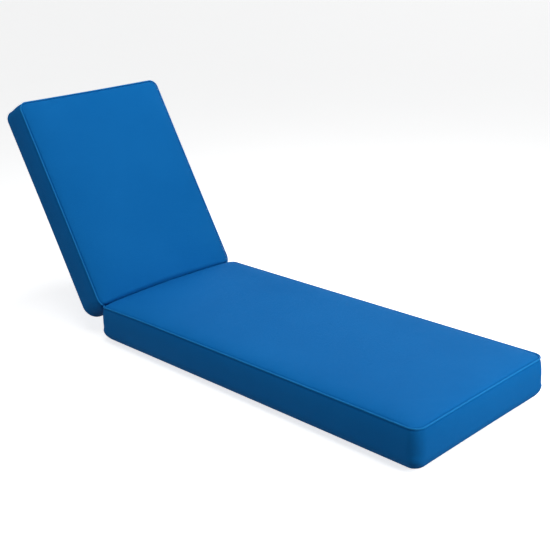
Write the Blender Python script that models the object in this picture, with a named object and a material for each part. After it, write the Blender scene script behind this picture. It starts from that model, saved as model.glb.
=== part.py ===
"""A sun lounger cushion in two sections: a long seat section that lies flat, and a shorter back
section raised at the hinge between them. Each section is one filled box cushion with a crowned
top, a slightly bulging side wall and a rounded lower edge. A round piping is sewn along the seam
where the top panel meets the wall.

Metres, +Z up. The foot end points to -Y and the head end to +Y. The origin is on the ground,
under the middle of the whole cushion.
"""

import math

import bmesh
import bpy
from mathutils import Matrix, Vector

# Driving dimensions in metres, angles in degrees
SEAM_WIDTH = 0.56        # across a section, from side seam to side seam
SEAT_LENGTH = 1.28       # from the hinge seam to the foot seam
BACK_LENGTH = 0.727      # from the hinge seam to the head seam
SEAM_HEIGHT = 0.126      # from the underside to the top seam
RECLINE = 60.4           # the back section's face above the horizontal
CREASE_DEPTH = 0.0255    # how far the back's lower seam is tucked below the crease, along its face
CREASE_SETBACK = 0.004   # how far the crease lies in front of the seat's full length
CONTACT_LEAN = 13.0      # of the plane where the two sections press together, off the vertical

# The shape of one section
CORNER_RADIUS = 0.039    # of the seam, seen from above
WALL_BULGE = 0.0065      # how far the wall stands out past the seam, at half height
WALL_FULLNESS = 3.0      # 2 is an even curve, and more is fuller near the seam and the lower edge
SIDE_DRAW = 0.001        # how far each side pulls in between its corners
LOWER_ROUNDING = 0.042   # radius of the edge between the wall and the underside
LOWER_CORNER = 0.023     # corner radius of the flat underside
CROWN_SHOULDER = 0.0031  # height of the top panel just inside the piping, above the seam
CROWN_RISE = 0.009       # further rise of the top panel, from the shoulder to the middle
CROWN_REACH = 0.25       # how far in from the seam the top panel goes on rising
CROWN_FULLNESS = 3.5     # 1 is a straight slope, and more is rounder near the seam

# The piping and the spaces between the solids
PIPING_RADIUS = 0.0025
CLEARANCE = 0.0003

# How finely the shapes are divided
CORNER_STEPS = 7
LONG_SIDE_STEPS = 10
SHORT_SIDE_STEPS = 4
ROUNDING_STEPS = 5
GROOVE_STEPS = 4
PIPING_ROUNDNESS = 2     # eight sides

# Heights of the wall's sections, as shares of SEAM_HEIGHT below the seam
WALL_SECTIONS = (0.60, 0.45, 0.32, 0.22, 0.14, 0.085)

# The top panel's sections: how far in from the seam, and the corner radius there
CROWN_SECTIONS = (
    # inset, corner radius
    (0.008, 0.041),
    (0.020, 0.046),
    (0.038, 0.055),
    (0.065, 0.070),
    (0.105, 0.090),
    (0.160, 0.100),
    (0.225, 0.053),
)

CLOTH_COLOUR = (0.012, 0.145, 0.43, 1.0)
PIPING_COLOUR = (0.016, 0.165, 0.46, 1.0)
CLOTH_ROUGHNESS = 0.85


def new_collection(name):
    """A collection in the scene for the cushion's pieces."""
    collection = bpy.data.collections.new(name)
    bpy.context.scene.collection.children.link(collection)
    return collection


def cloth(name, colour):
    """A matt woven cloth in one colour."""
    material = bpy.data.materials.new(name)
    material.use_nodes = True
    shader = material.node_tree.nodes["Principled BSDF"]
    shader.inputs["Base Color"].default_value = colour
    shader.inputs["Roughness"].default_value = CLOTH_ROUGHNESS
    shader.inputs["Metallic"].default_value = 0.0
    material.diffuse_color = colour
    return material


def outline(length, grow, radius):
    """(point, outward direction) pairs round a section seen from above, anticlockwise.

    The hinge seam is at y = 0 and the far seam at y = length. grow moves the outline outwards,
    and each side pulls in a little between its corners.
    """
    half = SEAM_WIDTH / 2 + grow
    near, far = -grow, length + grow
    corners = (
        # centre x, centre y, first angle, steps along the side that follows
        (half - radius, near + radius, -90.0, LONG_SIDE_STEPS),
        (half - radius, far - radius, 0.0, SHORT_SIDE_STEPS),
        (radius - half, far - radius, 90.0, LONG_SIDE_STEPS),
        (radius - half, near + radius, 180.0, SHORT_SIDE_STEPS),
    )
    arcs = []
    for x, y, first_angle, _steps in corners:
        arc = []
        for step in range(CORNER_STEPS + 1):
            angle = math.radians(first_angle + 90.0 * step / CORNER_STEPS)
            outward = Vector((math.cos(angle), math.sin(angle), 0.0))
            arc.append((Vector((x, y, 0.0)) + radius * outward, outward))
        arcs.append(arc)
    ring = []
    for index, arc in enumerate(arcs):
        ring += arc
        start, outward = arc[-1]
        end = arcs[(index + 1) % len(arcs)][0][0]
        steps = corners[index][3]
        for step in range(1, steps):
            along = step / steps
            draw = SIDE_DRAW * math.sin(math.pi * along)
            ring.append((start.lerp(end, along) - draw * outward, outward))
    return ring


def press(point, plane, margin=0.0):
    """The point, pushed back where it would pass the contact plane between the sections."""
    origin, inward = plane
    depth = (point - origin).dot(inward) - margin
    return point if depth >= 0.0 else point - depth * inward


def level(length, plane, grow, radius, height):
    """One ring of the cushion at a height above the seam."""
    return [press(point + Vector((0.0, 0.0, height)), plane) for point, _ in outline(length, grow, radius)]


def seam(length, plane):
    """The line of the piping: each point, and the outward and upward directions square to the line."""
    reach = PIPING_RADIUS + CLEARANCE / 2
    ring = [(press(point, plane, reach), outward) for point, outward in outline(length, 0.0, CORNER_RADIUS)]
    line = []
    for index, (point, outward) in enumerate(ring):
        before, after = ring[index - 1][0], ring[(index + 1) % len(ring)][0]
        along = ((point - before).normalized() + (after - point).normalized()).normalized()
        out = (outward - outward.dot(along) * along).normalized()
        line.append((point, out, out.cross(along)))
    return line


def wall_grow(height):
    """How far the wall stands out from the seam's outline at a height above the seam."""
    from_middle = abs(1.0 + 2.0 * height / SEAM_HEIGHT)
    return WALL_BULGE * (1.0 - from_middle**WALL_FULLNESS)


def lower_rings(length, plane):
    """From the flat underside round the lower edge and up the wall to just below the piping."""
    rings = []
    for step in range(ROUNDING_STEPS + 1):
        angle = math.radians(90.0 * step / ROUNDING_STEPS)
        height = LOWER_ROUNDING * (1.0 - math.cos(angle)) - SEAM_HEIGHT
        grow = wall_grow(height) - LOWER_ROUNDING * (1.0 - math.sin(angle))
        radius = LOWER_CORNER + (CORNER_RADIUS - LOWER_CORNER) * math.sin(angle)
        rings.append(level(length, plane, grow, radius, height))
    for share in WALL_SECTIONS:
        height = -share * SEAM_HEIGHT
        grow = wall_grow(height)
        rings.append(level(length, plane, grow, CORNER_RADIUS + grow, height))
    return rings


def groove_rings(length, plane):
    """The groove that holds the piping, open outwards and upwards."""
    half_step = math.radians(90.0 / GROOVE_STEPS)
    reach = (PIPING_RADIUS + CLEARANCE) / math.cos(half_step)
    rings = []
    for step in range(GROOVE_STEPS + 1):
        angle = math.radians(270.0 - 180.0 * step / GROOVE_STEPS)
        out, up = reach * math.cos(angle), reach * math.sin(angle)
        rings.append([point + out * outward + up * upward for point, outward, upward in seam(length, plane)])
    return rings


def crown_rings(length, plane):
    """The top panel, rising from the piping to the middle."""
    rings = []
    for inset, radius in CROWN_SECTIONS:
        share = inset / CROWN_REACH
        height = CROWN_SHOULDER + CROWN_RISE * (1.0 - (1.0 - share) ** CROWN_FULLNESS)
        rings.append(level(length, plane, -inset, radius, height))
    return rings


def cushion(name, length, plane, material, collection):
    """One filled box cushion, lofted from its underside to the middle of its top panel."""
    rings = lower_rings(length, plane) + groove_rings(length, plane) + crown_rings(length, plane)
    bm = bmesh.new()
    loops = [[bm.verts.new(point) for point in ring] for ring in rings]
    for low, high in zip(loops, loops[1:]):
        count = len(low)
        for i in range(count):
            j = (i + 1) % count
            bm.faces.new((low[i], low[j], high[j], high[i]))
    bm.faces.new(reversed(loops[0]))
    bm.faces.new(loops[-1])
    mesh = bpy.data.meshes.new(name)
    bm.to_mesh(mesh)
    bm.free()
    mesh.shade_smooth()
    mesh.materials.append(material)
    body = bpy.data.objects.new(name, mesh)
    collection.objects.link(body)
    return body


def piping(name, length, plane, material, collection):
    """A round cord in its cloth sleeve, all round the top seam."""
    curve = bpy.data.curves.new(name, "CURVE")
    curve.dimensions = "3D"
    curve.bevel_depth = PIPING_RADIUS
    curve.bevel_resolution = PIPING_ROUNDNESS
    points = [point for point, _, _ in seam(length, plane)]
    spline = curve.splines.new("POLY")
    spline.points.add(len(points) - 1)
    for control, point in zip(spline.points, points):
        control.co = (*point, 1.0)
    spline.use_cyclic_u = True
    spline.use_smooth = True
    curve.materials.append(material)
    cord = bpy.data.objects.new(name, curve)
    collection.objects.link(cord)
    return cord


def crease_point():
    """Where the back's face meets the seat, level with the top of the seat's piping."""
    return Vector((0.0, -CREASE_SETBACK, SEAM_HEIGHT + PIPING_RADIUS))


def contact_plane(placement, side):
    """The plane below the crease where the sections press together, in one section's own axes.

    side is -1 for the seat, which stays in front of the plane, and 1 for the back, which stays
    behind it. Half the clearance is left on each side.
    """
    lean = math.radians(CONTACT_LEAN)
    inward = side * Vector((0.0, math.cos(lean), math.sin(lean)))
    to_local = placement.inverted()
    return to_local @ (crease_point() + CLEARANCE / 2 * inward), to_local.to_3x3() @ inward


def section(label, length, placement, side, materials, collection, root):
    """A cushion and its piping, placed by their shared transform."""
    plane = contact_plane(placement, side)
    pieces = (
        cushion(f"{label}_cushion", length, plane, materials["cloth"], collection),
        piping(f"{label}_piping", length, plane, materials["piping"], collection),
    )
    for piece in pieces:
        piece.parent = root
        piece.matrix_local = placement
    return pieces


def centre_on_origin(root, cushions):
    """Moves everything so that the origin is under the middle of the whole length."""
    bpy.context.view_layer.update()
    reach = [(body.matrix_world @ vertex.co).y for body in cushions for vertex in body.data.vertices]
    root.location.y = -(min(reach) + max(reach)) / 2


def main():
    for old in list(bpy.data.objects):
        bpy.data.objects.remove(old, do_unlink=True)
    collection = new_collection("sun_lounger_cushion")
    root = bpy.data.objects.new("hinge", None)
    collection.objects.link(root)
    materials = {
        "cloth": cloth("cushion_cloth", CLOTH_COLOUR),
        "piping": cloth("piping_cloth", PIPING_COLOUR),
    }

    # The seat runs from the hinge to the foot, so it is turned half round
    seat_place = Matrix.Translation((0.0, 0.0, SEAM_HEIGHT)) @ Matrix.Rotation(math.pi, 4, "Z")
    seat, _ = section("seat", SEAT_LENGTH, seat_place, -1, materials, collection, root)

    # The back's lower seam is tucked below the crease
    tilt = math.radians(RECLINE)
    lower_seam = crease_point() - CREASE_DEPTH * Vector((0.0, math.cos(tilt), math.sin(tilt)))
    back_place = Matrix.Translation(lower_seam) @ Matrix.Rotation(tilt, 4, "X")
    back, _ = section("back", BACK_LENGTH, back_place, 1, materials, collection, root)

    centre_on_origin(root, (seat, back))


main()
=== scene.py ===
"""A hinged sun lounger cushion: the sewn form of its two sections, the piping and the woven cloth.

Metres, +Z up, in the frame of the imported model. Each section is shaped in its own axes first:
x across, y from the hinge seam to the far seam, and z up from the seam of the top panel.
"""

import math

import bpy
import numpy as np
from mathutils import Matrix, Vector


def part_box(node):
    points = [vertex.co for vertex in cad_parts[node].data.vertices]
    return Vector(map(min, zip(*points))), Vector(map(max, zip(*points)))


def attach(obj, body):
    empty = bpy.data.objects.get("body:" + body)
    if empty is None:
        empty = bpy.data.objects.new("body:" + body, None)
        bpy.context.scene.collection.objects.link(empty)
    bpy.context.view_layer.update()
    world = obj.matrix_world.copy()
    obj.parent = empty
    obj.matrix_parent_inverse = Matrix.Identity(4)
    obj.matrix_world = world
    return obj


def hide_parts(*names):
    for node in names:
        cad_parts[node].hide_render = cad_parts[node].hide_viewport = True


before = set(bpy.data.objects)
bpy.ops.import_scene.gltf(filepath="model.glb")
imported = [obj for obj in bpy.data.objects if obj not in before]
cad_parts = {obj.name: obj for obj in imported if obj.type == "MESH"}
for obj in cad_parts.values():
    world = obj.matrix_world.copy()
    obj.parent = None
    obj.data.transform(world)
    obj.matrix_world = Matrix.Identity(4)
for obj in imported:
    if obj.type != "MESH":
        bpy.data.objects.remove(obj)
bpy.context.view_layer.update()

# Driving dimensions, as in the solids
SEAM_WIDTH = 0.56
SEAT_LENGTH = 1.28
BACK_LENGTH = 0.727
SEAM_HEIGHT = 0.126
RECLINE = math.radians(60.4)
CREASE_DEPTH = 0.0255
CREASE_SETBACK = 0.004
CONTACT_LEAN = math.radians(13.0)
CORNER_RADIUS = 0.039
WALL_BULGE = 0.0065
WALL_FULLNESS = 3.0
SIDE_DRAW = 0.001
LOWER_ROUNDING = 0.042
LOWER_CORNER = 0.023
PIPING_RADIUS = 0.0025
CLEARANCE = 0.0003

# Corner radii of the seam where they differ from that of the solids
BACK_HINGE_RADIUS = 0.046
HEAD_RADIUS = 0.026
FOOT_RADIUS = 0.031

# The hinge seam's place, from the foot end of the seat's solid
HINGE_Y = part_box("seat_cushion")[0].y + WALL_BULGE + SEAT_LENGTH

# The seat's corners sink beside the hinge, and the sections meet further forward there
CORNER_SINK = 0.0062
CORNER_SINK_LENGTH = 0.045
LEFT_SINK = 0.0036        # more on the left in the picture, which is local +x
LEFT_SINK_LENGTH = 0.22
CONTACT_BOW = 0.0065
TOWARD_ENDS = 1.6         # how late these grow from the middle of the width to its ends

# The top panel dips to a valley beside the piping and rises from there to its crown
VALLEY_INSET = 0.00285
VALLEY_HEIGHT = -0.0003
LIP_RISE = 0.0027
LIP_LENGTH = 0.0028
CROWN_RISE = 0.0097
CROWN_REACH = 0.25
CROSS_FULLNESS = 8.0      # of the slope along the long sides: more is steeper at the seam
END_FULLNESS = 5.0        # of the slope along the two ends
CORNER_BLEND = 2.0        # how the two slopes meet in a corner

# The wall's upper edge is drawn in under the piping
TUCK_DEPTH = 0.0026
TUCK_TOP = 0.0024
TUCK_REACH = 0.0062

# A plain seam round the lower edge, between the wall and the underside
LOWER_SEAM_ANGLE = 30.0
LOWER_SEAM_DEPTH = 0.0009
LOWER_SEAM_WIDTH = 0.0011

# The gathers that the stitches leave along the piped seam
GATHER_PITCH = 0.0085
GATHER_DEPTH = 0.0005
GATHER_REACH = 0.006
GATHER_MEAN = 0.68        # of their strength, with a drift each way
GATHER_DRIFT = 0.2
GATHER_SHARPNESS = 1.5
GATHER_SEED = 11

# Intervals of the outline, in each corner and along each side
CORNER_STEPS = 48
SEAT_STEPS = 448
BACK_STEPS = 256
END_STEPS = 176
PANEL_STRIDE = 4          # the middle of a panel keeps every fourth point
PIPING_SIDES = 16

# Rings of the top panel: inset from the seam, corner radius there, and which points are kept
PANEL_RINGS = (
    # inset, corner radius, stride
    (0.00285, 0.0390, 1),
    (0.00340, 0.0391, 1),
    (0.00420, 0.0393, 1),
    (0.00530, 0.0396, 1),
    (0.00680, 0.0401, 1),
    (0.00880, 0.0408, 1),
    (0.01130, 0.0419, 1),
    (0.01450, 0.0434, 1),
    (0.01850, 0.0453, 1),
    (0.02350, 0.0478, 2),
    (0.03000, 0.0513, 4),
)

# Rings of the wall: depth below the seam, and which points are kept
WALL_RINGS = (
    # depth, stride
    (0.0735, 2),
    (0.0640, 2),
    (0.0550, 2),
    (0.0460, 2),
    (0.0375, 2),
    (0.0300, 2),
    (0.0235, 2),
    (0.0180, 1),
    (0.0138, 1),
    (0.0108, 1),
    (0.0085, 1),
    (0.0067, 1),
    (0.0053, 1),
    (0.0042, 1),
    (0.0034, 1),
    (0.0028, 1),
    (0.0024, 1),
)

# Angles of the rings in the rounded lower edge, from the underside, with close ones at its seam
LOWER_ANGLES = (0, 9, 18, 24, 27, 28.5, 30, 31.5, 33, 36, 42, 50, 58, 66, 74, 82, 90)

# Where the fabric passes behind the piping, as angles round it
BEHIND_PIPING = (222.0, 203.0)
BEHIND_REACH = 0.00285

# Rings within the first distance follow the piping's line, and past the second the outline
FOLLOW_PIPING = 0.003
FOLLOW_OUTLINE = 0.010

# The picture: an axis pointing back to the camera, its place behind the hinge, and its lens
CAMERA_AZIMUTH = math.radians(-44.0443)
CAMERA_ELEVATION = math.radians(19.7983)
CAMERA_ROLL = math.radians(-2.3744)
CAMERA_FROM_HINGE = Vector((-1.9672, -2.5642, 1.2874))
CAMERA_LENS = 65.785
SENSOR_WIDTH = 36.0

# The cloth, in metres where not a share
YARN_PITCH = 0.0007
YARN_FLATNESS = 0.35
YARN_RELIEF = 0.00022
SLUB_SCALE = 120.0
SLUB_STRETCH = 9.0
BROAD_SCALE = 3.5
RIPPLE_SCALE = 28.0
RIPPLE_HEIGHT = 0.0012
# Painted shade: the cloth is made darker in the valley beside the piping, where shade falls
PAINTED_SEAM_SHADE = 0.3
PAINTED_SEAM_SHADE_FROM = 0.0020
PAINTED_SEAM_SHADE_TO = 0.0065
SLEEVE_TURN = math.radians(45.0)
PIPING_PINCH = 0.00018
CLOTH_COLOURS = (
    (0.0020, 0.092, 0.315),
    (0.0045, 0.138, 0.425),
    (0.0120, 0.185, 0.520),
)
# Painted highlight: the piping is the same cloth, made lighter for the light that its round top catches
PIPING_PAINTED_HIGHLIGHT_COLOURS = (
    (0.0055, 0.135, 0.400),
    (0.0120, 0.198, 0.535),
    (0.0240, 0.260, 0.630),
)

# The studio
FLOOR_SIZE = 80.0
FLOOR_GLOW = 0.72
SOFTBOX_SIZE = 1.1
SOFTBOX_AIM = Vector((0.0, -0.25, 0.1))
SOFTBOXES = (
    # name, place, watts
    ("front_box", (0.32, -2.2, 0.7), 25.4),
    ("top_box", (-0.6, -0.3, 1.9), 11.2),
    ("head_box", (0.8, 0.2, 2.2), 24.0),
)
RIM_ANGLE = math.radians(35.0)
RIMS = (
    # name, direction towards the light, strength
    ("right_rim", (0.897, 0.418, 0.139), 1.41),
    ("left_rim", (-0.931, 0.339, 0.139), 1.04),
)
FILL_STRENGTH = 0.08
FILL_COLOUR = (0.93, 0.97, 1.0)


class Section:
    """One box cushion, its place in the frame, and where it presses on the other one.

    side is -1 for the section on the foot side of the contact and 1 for the one behind it, and
    sinks tells whether its corners sink beside the hinge.
    """

    def __init__(self, label, length, side_steps, place, side, hinge_radius, far_radius, sinks):
        self.label = label
        self.length = length
        self.place = place
        self.side_steps = side_steps
        self.side = side
        self.hinge_extra = hinge_radius - CORNER_RADIUS
        self.far_extra = far_radius - CORNER_RADIUS
        self.sinks = sinks
        lean = side * Vector((0.0, math.cos(CONTACT_LEAN), math.sin(CONTACT_LEAN)))
        to_local = place.inverted()
        self.contact_point = np.array(to_local @ (crease_point() + CLEARANCE / 2 * lean))
        self.contact_inward = np.array(to_local.to_3x3() @ lean)
        self.first, self.second, self.along, self.outward = self.outline_plan()
        self.seam_line, self.seam_out, self.seam_up = self.seam_frame()
        steps = np.linalg.norm(np.roll(self.seam_line, -1, 0) - self.seam_line, axis=1)
        self.arc = np.concatenate([[0.0], np.cumsum(steps)])

    def outline_plan(self):
        """For each point of the outline: its two corners, its share of the way, and its direction."""
        first, second, along, angles = [], [], [], []
        for corner in range(4):
            steps = END_STEPS if corner % 2 else self.side_steps
            for step in range(CORNER_STEPS + steps):
                on_side = max(step - CORNER_STEPS, 0)
                first.append(corner)
                second.append((corner + 1) % 4)
                along.append(on_side / steps)
                angles.append(90.0 * (corner - 1 + min(step / CORNER_STEPS, 1.0)))
        angles = np.radians(angles)
        outward = np.stack([np.cos(angles), np.sin(angles), np.zeros(len(angles))], axis=1)
        return np.array(first), np.array(second), np.array(along)[:, None], outward

    def outline(self, grow, radius):
        """The points round the section seen from above, anticlockwise. grow moves them outwards."""
        half = SEAM_WIDTH / 2 + grow
        hinge, far = radius + self.hinge_extra, radius + self.far_extra
        corners = np.array([
            # x and y of the centre, height, radius
            (half - hinge, hinge - grow, 0.0, hinge),
            (half - far, self.length + grow - far, 0.0, far),
            (far - half, self.length + grow - far, 0.0, far),
            (hinge - half, hinge - grow, 0.0, hinge),
        ])
        between = corners[self.first] * (1.0 - self.along) + corners[self.second] * self.along
        reach = between[:, 3:] - SIDE_DRAW * np.sin(math.pi * self.along)
        return between[:, :3] + reach * self.outward

    def sunk(self, points):
        """The points, lower where the section's corners sink beside the hinge."""
        if not self.sinks:
            return points
        corner = CORNER_SINK * (1.0 - smooth_step(points[:, 1] / CORNER_SINK_LENGTH))
        left = LEFT_SINK * (1.0 - smooth_step(points[:, 1] / LEFT_SINK_LENGTH)) * (points[:, 0] > 0.0)
        height = np.clip(1.0 + points[:, 2] / SEAM_HEIGHT, 0.0, 1.0)
        drop = (corner + left) * toward_ends(points) * height
        return points - drop[:, None] * np.array((0.0, 0.0, 1.0))

    def press(self, points, margin=0.0):
        """The points, pushed back where they would pass the bowed surface of contact."""
        depth = (points - self.contact_point) @ self.contact_inward - margin
        depth = depth + self.side * CONTACT_BOW * toward_ends(points)
        return points - np.minimum(depth, 0.0)[:, None] * self.contact_inward

    def panel_height(self, points, rise):
        """The top panel's height at points of its flat layout, that much over its valley's rim."""
        flat = points * np.array((1.0, 1.0, 0.0))
        return rise + crown(self, flat) + self.sunk(flat)[:, 2]

    def seam_frame(self):
        """The line of the piping, with the outward and upward directions square to it."""
        line = self.sunk(self.outline(0.0, CORNER_RADIUS))
        line = self.press(line, PIPING_RADIUS + CLEARANCE / 2)
        ahead = unit(np.roll(line, -1, 0) - line)
        tangent = unit(ahead + np.roll(ahead, 1, 0))
        out = unit(self.outward - np.sum(self.outward * tangent, 1, keepdims=True) * tangent)
        return line, out, np.cross(out, tangent)

    def ring(self, grow, height, radius):
        """Points at a distance outside the seam and a height above it, either one value each or
        one for each point. Near the piping they follow its line, and further off the outline."""
        grow = np.broadcast_to(grow, len(self.outward))[:, None]
        height = np.broadcast_to(height, len(self.outward))[:, None]
        beside = self.seam_line + grow * self.seam_out + height * self.seam_up
        apart = self.outline(float(grow.mean()), radius) + height * np.array((0.0, 0.0, 1.0))
        apart = self.press(self.sunk(apart))
        distance = np.hypot(grow, height)
        share = smooth_step((distance - FOLLOW_PIPING) / (FOLLOW_OUTLINE - FOLLOW_PIPING))
        return self.press(beside * (1.0 - share) + apart * share)


def crease_point():
    """Where the back's face meets the seat, level with the top of the seat's piping."""
    return Vector((0.0, HINGE_Y - CREASE_SETBACK, SEAM_HEIGHT + PIPING_RADIUS))


def unit(vectors):
    return vectors / np.linalg.norm(vectors, axis=-1, keepdims=True)


def smooth_step(share):
    share = np.clip(share, 0.0, 1.0)
    return share * share * (3.0 - 2.0 * share)


def toward_ends(points):
    """From 0 in the middle of the width to 1 at its two ends."""
    return np.clip(np.abs(points[:, 0]) / (SEAM_WIDTH / 2), 0.0, 1.0) ** TOWARD_ENDS


def wander(phase, waves, seed):
    """A smooth closed curve of values about -1 to 1 round the outline, the same on every run."""
    random = np.random.default_rng(seed)
    total = sum(
        random.uniform(0.4, 1.0) * np.sin(2.0 * math.pi * (wave * phase + random.uniform()))
        for wave in waves
    )
    return total / math.sqrt(len(waves) / 2.0)


def gathers(section, seed):
    """How strongly the stitches draw the cloth in at each point of the seam, from 0 to 1."""
    phase = section.arc[:-1] / section.arc[-1]
    count = round(section.arc[-1] / GATHER_PITCH)
    drift = wander(phase, range(5, 60, 6), seed)
    strength = GATHER_MEAN + GATHER_DRIFT * wander(phase, range(11, 90, 8), seed + 1)
    stitch = 0.5 + 0.5 * np.cos(2.0 * math.pi * count * phase + 1.6 * drift)
    return np.clip(strength, 0.1, 1.2) * stitch**GATHER_SHARPNESS


def crown(section, points):
    """The top panel's height at points of the section, from the valley beside the piping."""
    from_side = SEAM_WIDTH / 2 - VALLEY_INSET - np.abs(points[:, 0])
    from_end = np.minimum(points[:, 1], section.length - points[:, 1]) - VALLEY_INSET
    cross = np.clip(1.0 - from_side / CROWN_REACH, 0.0, 1.0) ** CROSS_FULLNESS
    end = np.clip(1.0 - from_end / CROWN_REACH, 0.0, 1.0) ** END_FULLNESS
    meet = (cross**CORNER_BLEND + end**CORNER_BLEND) ** (1.0 / CORNER_BLEND)
    return CROWN_RISE * np.clip(1.0 - meet, 0.0, 1.0)


def panel_lip(inset):
    """The top panel's quick rise beside the valley, from the seam's height."""
    return VALLEY_HEIGHT + LIP_RISE * (1.0 - math.exp((VALLEY_INSET - inset) / LIP_LENGTH))


def wall_grow(height):
    """How far the wall stands out from the seam's outline at a height above the seam."""
    bulge = WALL_BULGE * (1.0 - abs(1.0 + 2.0 * height / SEAM_HEIGHT) ** WALL_FULLNESS)
    tuck = max(0.0, 1.0 - (-height - TUCK_TOP) / TUCK_REACH) ** 2
    return bulge - TUCK_DEPTH * tuck


def lower_profile(degrees):
    """Grow, height and corner radius in the rounded lower edge, with the dent of its seam."""
    angle = math.radians(degrees)
    from_seam = LOWER_ROUNDING * math.radians(degrees - LOWER_SEAM_ANGLE)
    dent = LOWER_SEAM_DEPTH * math.exp(-((from_seam / LOWER_SEAM_WIDTH) ** 2))
    reach = LOWER_ROUNDING - dent
    rise = LOWER_ROUNDING - reach * math.cos(angle)
    grow = wall_grow(rise - SEAM_HEIGHT) - LOWER_ROUNDING + reach * math.sin(angle)
    radius = LOWER_CORNER + (CORNER_RADIUS - LOWER_CORNER) * math.sin(angle)
    return grow, rise - SEAM_HEIGHT, radius


class Skin:
    """Collects the vertices and faces of one cushion, and where each face corner lies on its cloth."""

    def __init__(self):
        self.points, self.seam_distance = [], []
        self.faces, self.cloth = [], []
        self.count = 0

    def add(self, points, seam_distance):
        """Adds vertices and returns their numbers."""
        self.points.append(points)
        self.seam_distance.append(np.broadcast_to(seam_distance, len(points)))
        self.count += len(points)
        return np.arange(self.count - len(points), self.count)

    def strip(self, low, high):
        """Faces between two closed rings, each its vertex numbers and their places on the cloth."""
        numbers = np.concatenate([low[0], low[0][:1], high[0], high[0][:1]])
        places = np.concatenate([low[1], high[1]])
        for corners in strip_corners(len(low[0]), len(high[0])):
            self.faces.append(numbers[corners])
            self.cloth.append(places[corners])

    def mesh(self, name):
        """The finished mesh, with the cloth's layout in metres as its UV map."""
        mesh = bpy.data.meshes.new(name)
        faces = [row for rows in self.faces for row in rows.tolist()]
        mesh.from_pydata(np.concatenate(self.points).tolist(), [], faces)
        places = np.concatenate([rows.reshape(-1, 2) for rows in self.cloth])
        layout = mesh.uv_layers.new(name="cloth")
        layout.data.foreach_set("uv", places.astype(np.float32).ravel())
        distance = mesh.attributes.new("seam_distance", "FLOAT", "POINT")
        values = np.concatenate(self.seam_distance).astype(np.float32)
        distance.data.foreach_set("value", values)
        mesh.shade_smooth()
        return mesh


def strip_corners(low_count, high_count):
    """Face corners between two closed rings laid end to end, where one may be twice as fine."""
    i = np.arange(min(low_count, high_count))
    high = low_count + 1
    if low_count == high_count:
        faces = [(i, i + 1, high + i + 1, high + i)]
    elif low_count > high_count:
        faces = [
            (2 * i, 2 * i + 1, high + i),
            (2 * i + 1, high + i + 1, high + i),
            (2 * i + 1, 2 * i + 2, high + i + 1),
        ]
    else:
        faces = [
            (i, i + 1, high + 2 * i + 1),
            (i, high + 2 * i + 1, high + 2 * i),
            (i + 1, high + 2 * i + 2, high + 2 * i + 1),
        ]
    return [np.stack(corners, axis=1) for corners in faces]


def closed(values):
    """A ring's values with the first one repeated at the end."""
    return np.concatenate([values, values[:1]])


def add_panel(skin, ring, rim, height, seam_distance, upward):
    """Fills a ring with a grid of faces. Its lines run between the middles of the four corners.

    ring is the rim's vertex numbers, rim its points, and height gives the filling's height.
    """
    section_steps = len(rim)
    quarter = CORNER_STEPS // PANEL_STRIDE
    across = END_STEPS // PANEL_STRIDE + quarter
    along = section_steps // 2 - across
    start = quarter // 2 + np.array([0, along])
    order = np.arange(section_steps)
    east = np.take(order, start[0] + np.arange(along + 1), mode="wrap")
    north = np.take(order, start[1] + np.arange(across + 1), mode="wrap")[::-1]
    west = np.take(order, start[1] + across + np.arange(along + 1), mode="wrap")[::-1]
    south = np.take(order, start[0] - across + np.arange(across + 1), mode="wrap")
    u = np.linspace(0.0, 1.0, across + 1)[None, :, None]
    v = np.linspace(0.0, 1.0, along + 1)[:, None, None]
    points = (
        (1 - v) * rim[south][None] + v * rim[north][None]
        + (1 - u) * rim[west][:, None] + u * rim[east][:, None]
        - (1 - u) * (1 - v) * rim[south[0]] - u * (1 - v) * rim[south[-1]]
        - (1 - u) * v * rim[north[0]] - u * v * rim[north[-1]]
    )
    inner = points[1:-1, 1:-1].reshape(-1, 3)
    inner[:, 2] = height(inner)
    numbers = np.empty((along + 1, across + 1), dtype=int)
    numbers[0], numbers[-1] = ring[south], ring[north]
    numbers[:, 0], numbers[:, -1] = ring[west], ring[east]
    numbers[1:-1, 1:-1] = skin.add(inner, seam_distance).reshape(along - 1, across - 1)
    corners = [numbers[:-1, :-1], numbers[:-1, 1:], numbers[1:, 1:], numbers[1:, :-1]]
    places = points[..., :2]
    spots = [places[:-1, :-1], places[:-1, 1:], places[1:, 1:], places[1:, :-1]]
    if not upward:
        corners.reverse()
        spots.reverse()
    skin.faces.append(np.stack(corners, -1).reshape(-1, 4))
    skin.cloth.append(np.stack(spots, 2).reshape(-1, 4, 2))


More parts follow.
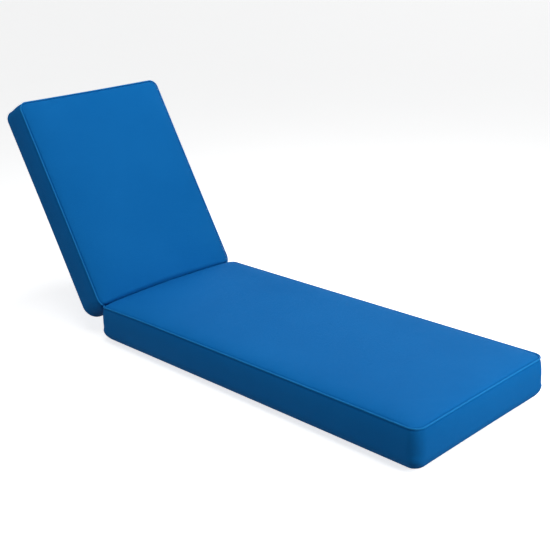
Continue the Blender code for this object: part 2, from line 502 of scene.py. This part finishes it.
def cushion_mesh(section):
    """The sewn cover of one section, from its flat underside to the crown of its top panel."""
    skin = Skin()
    pull = gathers(section, GATHER_SEED)
    arc = section.arc
    profile = []
    for degrees in LOWER_ANGLES:
        grow, height, radius = lower_profile(degrees)
        stride = PANEL_STRIDE if degrees == 0 else 2
        profile.append((grow, height, radius, stride, 0.0))
    for depth, stride in WALL_RINGS:
        grow = wall_grow(-depth)
        drawn = GATHER_DEPTH * math.exp((TUCK_TOP - depth) / GATHER_REACH)
        profile.append((grow, -depth, CORNER_RADIUS + grow, stride, drawn))

    rings, run, last = [], 0.0, None
    for grow, height, radius, stride, drawn in profile:
        if last:
            run += math.hypot(grow - last[0], height - last[1])
        last = (grow, height)
        points = section.ring(grow, height, radius) - (drawn * pull)[:, None] * section.seam_out
        points = section.press(points)[::stride]
        places = np.stack([arc[::stride], np.full(len(points) + 1, run)], axis=1)
        rings.append((skin.add(points, -height), places, points))

    for degrees in BEHIND_PIPING:
        out = BEHIND_REACH * math.cos(math.radians(degrees))
        up = BEHIND_REACH * math.sin(math.radians(degrees))
        points = section.seam_line + out * section.seam_out + up * section.seam_up
        run += math.hypot(out - last[0], up - last[1])
        last = (out, up)
        rings.append((skin.add(points, 0.0), np.stack([arc, np.full(len(arc), run)], axis=1), points))

    wall_end = len(rings)
    for inset, radius, stride in PANEL_RINGS:
        flat = section.outline(-inset, radius)
        drawn = GATHER_DEPTH * math.exp((VALLEY_INSET - inset) / GATHER_REACH)
        height = panel_lip(inset) + crown(section, flat) - drawn * pull
        points = section.ring(-inset, height, radius)[::stride]
        places = closed(flat[::stride, :2])
        rings.append((skin.add(points, inset), places, points))

    for index, (low, high) in enumerate(zip(rings, rings[1:])):
        if index == wall_end - 1:
            low = (low[0], high[1])
        skin.strip(low[:2], high[:2])

    lowest, innermost = rings[0], rings[-1]
    add_panel(skin, lowest[0], lowest[2], lambda points: np.full(len(points), -SEAM_HEIGHT), 1.0, False)
    inset, radius, stride = PANEL_RINGS[-1]
    rim = section.outline(-inset, radius)[::stride]
    top = panel_lip(inset)
    add_panel(skin, innermost[0], rim, lambda points: section.panel_height(points, top), inset, True)
    everything = section.press(np.concatenate(skin.points))
    skin.points = [everything]
    return skin.mesh(f"{section.label}_cover")


def piping_mesh(section):
    """The cord in its bias-cut sleeve, drawn in a little at each stitch."""
    pull = gathers(section, GATHER_SEED)[:, None]
    radius = PIPING_RADIUS - PIPING_PINCH * pull
    count = len(section.outward)
    turn = np.arange(PIPING_SIDES) * 2.0 * math.pi / PIPING_SIDES
    rings = [
        section.seam_line + radius * (math.cos(a) * section.seam_out + math.sin(a) * section.seam_up)
        for a in turn
    ]
    points = np.stack(rings, axis=1).reshape(-1, 3)
    i, j = np.meshgrid(np.arange(count), np.arange(PIPING_SIDES), indexing="ij")
    i, j = i.ravel(), j.ravel()
    ahead, beside = (i + 1) % count, (j + 1) % PIPING_SIDES
    numbers = np.stack([
        i * PIPING_SIDES + j,
        ahead * PIPING_SIDES + j,
        ahead * PIPING_SIDES + beside,
        i * PIPING_SIDES + beside,
    ], axis=1)
    width = 2.0 * math.pi * PIPING_RADIUS / PIPING_SIDES
    arc = section.arc
    places = np.stack([
        np.stack([arc[i], j * width], 1),
        np.stack([arc[i + 1], j * width], 1),
        np.stack([arc[i + 1], (j + 1) * width], 1),
        np.stack([arc[i], (j + 1) * width], 1),
    ], axis=1)
    mesh = bpy.data.meshes.new(f"{section.label}_cord")
    mesh.from_pydata(points.tolist(), [], numbers.tolist())
    layout = mesh.uv_layers.new(name="cloth")
    layout.data.foreach_set("uv", places.astype(np.float32).ravel())
    mesh.shade_smooth()
    return mesh


def add_piece(name, mesh, section, material, node):
    """A piece of the cushion, in place of its plain solid."""
    piece = bpy.data.objects.new(name, mesh)
    bpy.context.scene.collection.objects.link(piece)
    piece.data.transform(section.place)
    mesh.materials.append(material)
    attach(piece, "root")
    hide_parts(node)
    return piece


class Nodes:
    """Short ways to add the shader nodes of one material."""

    def __init__(self, name):
        self.material = bpy.data.materials.new(name)
        self.material.use_nodes = True
        self.tree = self.material.node_tree
        self.shader = self.tree.nodes["Principled BSDF"]

    def connect(self, value, socket):
        """Links another node's output, or sets a plain value."""
        if isinstance(value, bpy.types.NodeSocket):
            self.tree.links.new(value, socket)
        else:
            socket.default_value = value

    def math(self, operation, *values):
        node = self.tree.nodes.new("ShaderNodeMath")
        node.operation = operation
        for value, socket in zip(values, node.inputs):
            self.connect(value, socket)
        return node.outputs[0]

    def combine(self, x, y, z=0.0):
        node = self.tree.nodes.new("ShaderNodeCombineXYZ")
        for value, socket in zip((x, y, z), node.inputs):
            self.connect(value, socket)
        return node.outputs[0]

    def noise(self, vector, scale, detail=2.0, roughness=0.5):
        node = self.tree.nodes.new("ShaderNodeTexNoise")
        self.connect(vector, node.inputs["Vector"])
        node.inputs["Scale"].default_value = scale
        node.inputs["Detail"].default_value = detail
        node.inputs["Roughness"].default_value = roughness
        return node.outputs["Fac"]

    def ramp(self, value, *stops):
        """A colour ramp through (position, colour) stops."""
        node = self.tree.nodes.new("ShaderNodeValToRGB")
        self.connect(value, node.inputs["Fac"])
        points = node.color_ramp.elements
        while len(points) < len(stops):
            points.new(0.5)
        for point, (position, colour) in zip(points, stops):
            point.position = position
            point.color = (*colour, 1.0)
        return node.outputs["Color"]

    def mix(self, share, first, second):
        """A mix of two numbers."""
        node = self.tree.nodes.new("ShaderNodeMix")
        for value, socket in zip((share, first, second), node.inputs[0:1] + node.inputs[2:4]):
            self.connect(value, socket)
        return node.outputs[0]

    def map_range(self, value, low, high, to_low, to_high):
        node = self.tree.nodes.new("ShaderNodeMapRange")
        for number, socket in zip((value, low, high, to_low, to_high), node.inputs):
            self.connect(number, socket)
        return node.outputs["Result"]

    def bump(self, height, distance, strength, below=None):
        node = self.tree.nodes.new("ShaderNodeBump")
        node.inputs["Strength"].default_value = strength
        node.inputs["Distance"].default_value = distance
        self.connect(height, node.inputs["Height"])
        if below:
            self.connect(below, node.inputs["Normal"])
        return node.outputs["Normal"]


def woven(name, colours, turn, painted_seam_shade):
    """A plain-woven outdoor cloth, laid out by the cloth UV map, whose unit is a metre.

    colours run from the yarns' shaded edges to their tops, turn is the weave's angle on the
    layout, and the seam shade is painted shade: how much darker the cloth is made in the valley
    beside the piping, where shade falls.
    """
    n = Nodes(name)
    layout = n.tree.nodes.new("ShaderNodeUVMap")
    layout.uv_map = "cloth"
    split = n.tree.nodes.new("ShaderNodeSeparateXYZ")
    n.connect(layout.outputs[0], split.inputs[0])
    u, v = split.outputs[0], split.outputs[1]
    if turn:
        u, v = (
            n.math("SUBTRACT", n.math("MULTIPLY", u, math.cos(turn)), n.math("MULTIPLY", v, math.sin(turn))),
            n.math("ADD", n.math("MULTIPLY", u, math.sin(turn)), n.math("MULTIPLY", v, math.cos(turn))),
        )

    # Plain weave: a yarn shows on top in every second square, and hides in the others
    warp = n.math("SINE", n.math("MULTIPLY", u, math.pi / YARN_PITCH))
    weft = n.math("SINE", n.math("MULTIPLY", v, math.pi / YARN_PITCH))
    on_top = n.math("GREATER_THAN", n.math("MULTIPLY", warp, weft), 0.0)
    warp, weft = n.math("ABSOLUTE", warp), n.math("ABSOLUTE", weft)
    warp_yarn = n.math("MULTIPLY", warp, n.math("POWER", weft, YARN_FLATNESS))
    weft_yarn = n.math("MULTIPLY", weft, n.math("POWER", warp, YARN_FLATNESS))
    weave = n.mix(on_top, weft_yarn, warp_yarn)

    # Slubs: each yarn is a little thicker, thinner, lighter or darker along its length
    warp_slub = n.noise(n.combine(n.math("MULTIPLY", u, SLUB_STRETCH), v), SLUB_SCALE)
    weft_slub = n.noise(n.combine(u, n.math("MULTIPLY", v, SLUB_STRETCH), 5.0), SLUB_SCALE)
    slub = n.mix(on_top, weft_slub, warp_slub)

    # Broad, faint unevenness of the dye and the sun
    place = n.tree.nodes.new("ShaderNodeTexCoord").outputs["Object"]
    broad = n.noise(place, BROAD_SCALE, detail=3.0)

    tone = n.math("ADD", n.math("MULTIPLY", weave, 0.45), n.math("MULTIPLY", slub, 0.4))
    tone = n.math("ADD", tone, n.math("MULTIPLY", broad, 0.3))
    # Painted shade: the cloth is made darker in the valley beside the piping, where shade falls
    if painted_seam_shade:
        distance = n.tree.nodes.new("ShaderNodeAttribute")
        distance.attribute_name = "seam_distance"
        shade = n.map_range(distance.outputs["Fac"], PAINTED_SEAM_SHADE_FROM, PAINTED_SEAM_SHADE_TO, painted_seam_shade, 0.0)
        tone = n.math("SUBTRACT", tone, shade)
    low, middle, high = colours
    n.connect(n.ramp(tone, (0.15, low), (0.55, middle), (0.95, high)), n.shader.inputs["Base Color"])
    n.connect(n.map_range(slub, 0.3, 0.7, 0.78, 0.92), n.shader.inputs["Roughness"])
    n.shader.inputs["Specular IOR Level"].default_value = 0.05
    n.shader.inputs["Specular Tint"].default_value = (0.12, 0.5, 1.0, 1.0)
    n.shader.inputs["Sheen Weight"].default_value = 0.015
    n.shader.inputs["Sheen Roughness"].default_value = 0.5
    n.shader.inputs["Sheen Tint"].default_value = (0.08, 0.45, 1.0, 1.0)

    # The yarns' relief, over the slight ripple of cloth on foam
    ripple = n.bump(n.noise(place, RIPPLE_SCALE, detail=2.0), RIPPLE_HEIGHT, 0.6)
    relief = n.math("ADD", weave, n.math("MULTIPLY", slub, 0.5))
    n.connect(n.bump(relief, YARN_RELIEF, 0.7, ripple), n.shader.inputs["Normal"])
    return n.material


def floor():
    """A plain pale floor that fills the picture. It glows a little, as on a light table."""
    n = Nodes("pale_floor")
    place = n.tree.nodes.new("ShaderNodeTexCoord").outputs["Object"]
    tone = n.noise(place, 1.5, detail=2.0)
    n.connect(n.ramp(tone, (0.3, (0.84, 0.845, 0.85)), (0.7, (0.86, 0.865, 0.87))), n.shader.inputs["Base Color"])
    n.shader.inputs["Roughness"].default_value = 0.9
    n.shader.inputs["Specular IOR Level"].default_value = 0.1
    n.shader.inputs["Emission Color"].default_value = (1.0, 1.0, 1.0, 1.0)
    n.shader.inputs["Emission Strength"].default_value = FLOOR_GLOW
    bpy.ops.mesh.primitive_plane_add(size=FLOOR_SIZE, location=(0.0, 0.0, 0.0))
    plane = bpy.context.object
    plane.name = "floor"
    plane.data.materials.append(n.material)
    plane.visible_diffuse = False


def add_light(name, data, place, toward):
    light = bpy.data.objects.new(name, data)
    bpy.context.scene.collection.objects.link(light)
    light.location = place
    light.rotation_euler = toward.to_track_quat("-Z", "Y").to_euler()


def lights():
    """Three round softboxes in front, above and over the head end, two wide rims and a faint fill."""
    for name, place, watts in SOFTBOXES:
        data = bpy.data.lights.new(name, "AREA")
        data.shape = "DISK"
        data.size = SOFTBOX_SIZE
        data.energy = watts
        add_light(name, data, Vector(place), SOFTBOX_AIM - Vector(place))
    for name, direction, strength in RIMS:
        data = bpy.data.lights.new(name, "SUN")
        data.angle = RIM_ANGLE
        data.energy = strength
        add_light(name, data, Vector(direction), -Vector(direction))
    world = bpy.data.worlds.new("studio")
    world.use_nodes = True
    background = world.node_tree.nodes["Background"]
    background.inputs["Color"].default_value = (*FILL_COLOUR, 1.0)
    background.inputs["Strength"].default_value = FILL_STRENGTH
    bpy.context.scene.world = world
    bpy.context.scene.view_settings.view_transform = "Standard"


def camera():
    """The picture's viewpoint."""
    a, e, r = CAMERA_AZIMUTH, CAMERA_ELEVATION, CAMERA_ROLL
    back = Vector((math.sin(a) * math.cos(e), -math.cos(a) * math.cos(e), math.sin(e)))
    right = Vector((math.cos(a), math.sin(a), 0.0))
    up = back.cross(right)
    rolled_right = math.cos(r) * right + math.sin(r) * up
    rolled_up = -math.sin(r) * right + math.cos(r) * up
    data = bpy.data.cameras.new("view")
    data.sensor_width = SENSOR_WIDTH
    data.lens = CAMERA_LENS
    view = bpy.data.objects.new("view", data)
    bpy.context.scene.collection.objects.link(view)
    view.matrix_world = Matrix.Translation(CAMERA_FROM_HINGE + Vector((0.0, HINGE_Y, 0.0))) @ Matrix(
        (rolled_right, rolled_up, back)
    ).transposed().to_4x4()
    bpy.context.scene.camera = view


def sections():
    """The seat, turned half round so that it runs from the hinge to the foot, and the back."""
    seat = Matrix.Translation((0.0, HINGE_Y, SEAM_HEIGHT)) @ Matrix.Rotation(math.pi, 4, "Z")
    face = Vector((0.0, math.cos(RECLINE), math.sin(RECLINE)))
    back = Matrix.Translation(crease_point() - CREASE_DEPTH * face) @ Matrix.Rotation(RECLINE, 4, "X")
    return (
        Section(
            "seat", SEAT_LENGTH, SEAT_STEPS, seat, side=-1,
            hinge_radius=CORNER_RADIUS, far_radius=FOOT_RADIUS, sinks=True,
        ),
        Section(
            "back", BACK_LENGTH, BACK_STEPS, back, side=1,
            hinge_radius=BACK_HINGE_RADIUS, far_radius=HEAD_RADIUS, sinks=False,
        ),
    )


def main():
    camera()
    floor()
    lights()
    cloth = woven("outdoor_cloth", CLOTH_COLOURS, turn=0.0, painted_seam_shade=PAINTED_SEAM_SHADE)
    # The piping's sleeve is the same cloth cut on the bias, with lighter colours as a painted highlight
    sleeve = woven("piping_cloth", PIPING_PAINTED_HIGHLIGHT_COLOURS, turn=SLEEVE_TURN, painted_seam_shade=0.0)
    for section in sections():
        label = section.label
        cover = add_piece(f"{label}_cover", cushion_mesh(section), section, cloth, f"{label}_cushion")
        add_piece(f"{label}_cord", piping_mesh(section), section, sleeve, f"{label}_piping")


main()
